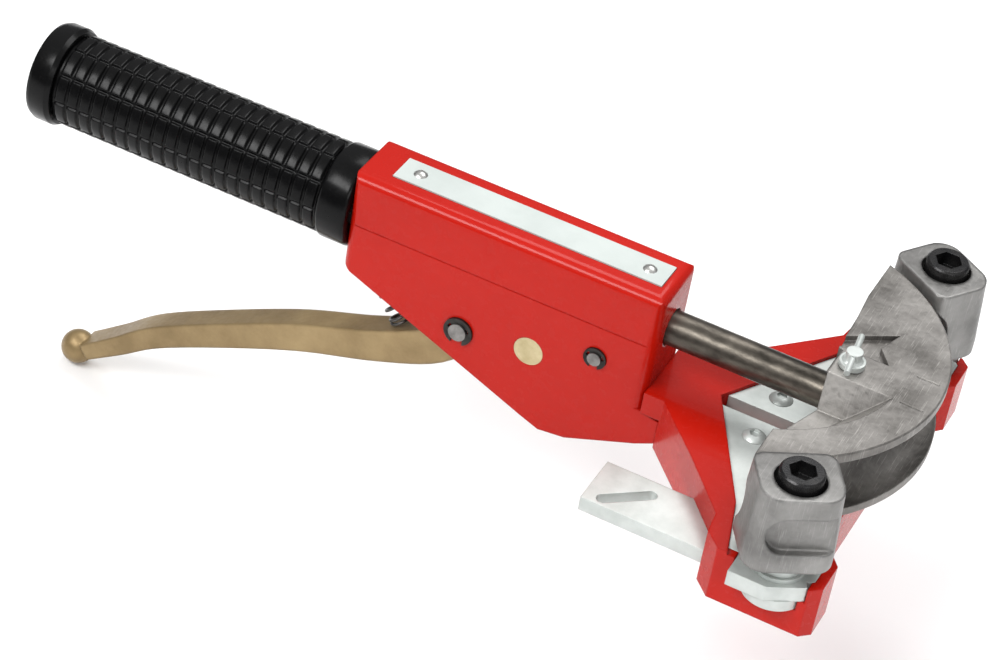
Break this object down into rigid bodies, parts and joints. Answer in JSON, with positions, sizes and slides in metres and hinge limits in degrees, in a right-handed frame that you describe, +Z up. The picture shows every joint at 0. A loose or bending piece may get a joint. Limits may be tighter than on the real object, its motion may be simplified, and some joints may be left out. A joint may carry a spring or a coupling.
{
  "type": "manual tube bender",
  "caption": "Hand-held crossbow tube bender: a ratchet lever pushes a toothed ram and its grooved bending shoe between swivelling support blocks.",
  "frame": {"origin": "under the middle of the tool's bounding box, level with the lowest point of the lever knob", "axes": "+X along the ram towards the bending shoe, +Y to the far side away from the tongue, +Z up"},
  "size_m": [0.4068, 0.1968, 0.1733],
  "materials": {
    "red_paint": "glossy red enamel",
    "grip_black": "glossy black moulded grip",
    "label": "blank pale metal plate, satin",
    "rivet": "bright rivets",
    "bushing": "oiled bronze",
    "lever_bronze": "cast bronze-gold, satin",
    "dark_steel": "dark oiled steel",
    "pin_steel": "bright pin end, satin",
    "spring_steel": "oiled spring wire",
    "brass_pin": "worn satin brass",
    "rod_steel": "dark oiled ground steel",
    "cast_alu": "cast and tumbled aluminium",
    "block_alu": "cast aluminium, satin",
    "zinc": "bright zinc plating",
    "black_oxide": "black oxide socket screws"
  },
  "bodies": {
    "frame": {"housing": "red_paint", "crossbar": "red_paint", "handle_tube": "dark_steel", "grip": "grip_black", "grip_end_cap": "grip_black", "label_plate": "label", "label_rivets": "rivet", "rod_bushing": "bushing", "lever_pivot_pin": "pin_steel", "lever_pivot_clips": "dark_steel", "return_spring": "spring_steel", "holding_pawl_pin": "pin_steel", "holding_pawl_clips": "dark_steel", "holding_pawl_spring": "spring_steel", "near_support_plate": "zinc", "far_support_plate": "zinc", "slotted_tongue": "zinc", "plate_screws": "zinc", "block_screws": "black_oxide", "block_washers": "zinc", "block_spacers": "zinc", "block_nuts": "zinc"},
    "lever": {"trigger_lever": "lever_bronze", "feed_pawl_pin": "pin_steel", "feed_pawl_spring": "spring_steel"},
    "feed_pawl": {"feed_pawl": "dark_steel"},
    "holding_pawl": {"holding_pawl": "dark_steel"},
    "button": {"release_button": "brass_pin"},
    "ram": {"rack_rod": "rod_steel", "rod_end_stop": "dark_steel", "bending_shoe": "cast_alu"},
    "clamp": {"shoe_clamp_screw": "zinc", "tommy_pin": "zinc"},
    "near_block": {"near_slide_block": "block_alu"},
    "far_block": {"far_slide_block": "block_alu"}
  },
  "joints": [
    {"name": "ram_slide", "type": "slide", "parent": "frame", "child": "ram", "axis": [1, 0, 0], "range_m": [-0.055, 0]},
    {"name": "clamp_turn", "type": "hinge", "parent": "ram", "child": "clamp", "pos_m": [0.16555, 0, 0.1688], "axis": [0, 0, 1], "range_deg": [0, 180]},
    {"name": "lever_hinge", "type": "hinge", "parent": "frame", "child": "lever", "pos_m": [0.00685, 0, 0.1175], "axis": [0, 1, 0], "range_deg": [0, 25], "stiffness_Nm_per_rad": 3, "springref_deg": -45.84, "deforming": ["return_spring"]},
    {"name": "feed_pawl_hinge", "type": "hinge", "parent": "lever", "child": "feed_pawl", "pos_m": [0.00055, 0, 0.1308], "axis": [0, 1, 0], "range_deg": [0, 14], "stiffness_Nm_per_rad": 0.02, "springref_deg": -28.65},
    {"name": "holding_pawl_hinge", "type": "hinge", "parent": "frame", "child": "holding_pawl", "pos_m": [0.06695, 0, 0.1325], "axis": [0, 1, 0], "range_deg": [0, 14], "stiffness_Nm_per_rad": 0.02, "springref_deg": -28.65},
    {"name": "release_slide", "type": "slide", "parent": "frame", "child": "button", "axis": [0, 1, 0], "range_m": [-0.004, 0]},
    {"name": "near_block_swivel", "type": "hinge", "parent": "frame", "child": "near_block", "pos_m": [0.17585, -0.0799, 0.1488], "axis": [0, 0, 1], "range_deg": [0, 58]},
    {"name": "far_block_swivel", "type": "hinge", "parent": "frame", "child": "far_block", "pos_m": [0.17585, 0.0799, 0.1488], "axis": [0, 0, 1], "range_deg": [-58, 0]}
  ],
  "couplings": [
    {"joint": "near_block_swivel", "follows": "ram_slide", "rad_per_m": -18.231},
    {"joint": "far_block_swivel", "follows": "ram_slide", "rad_per_m": 18.231}
  ]
}
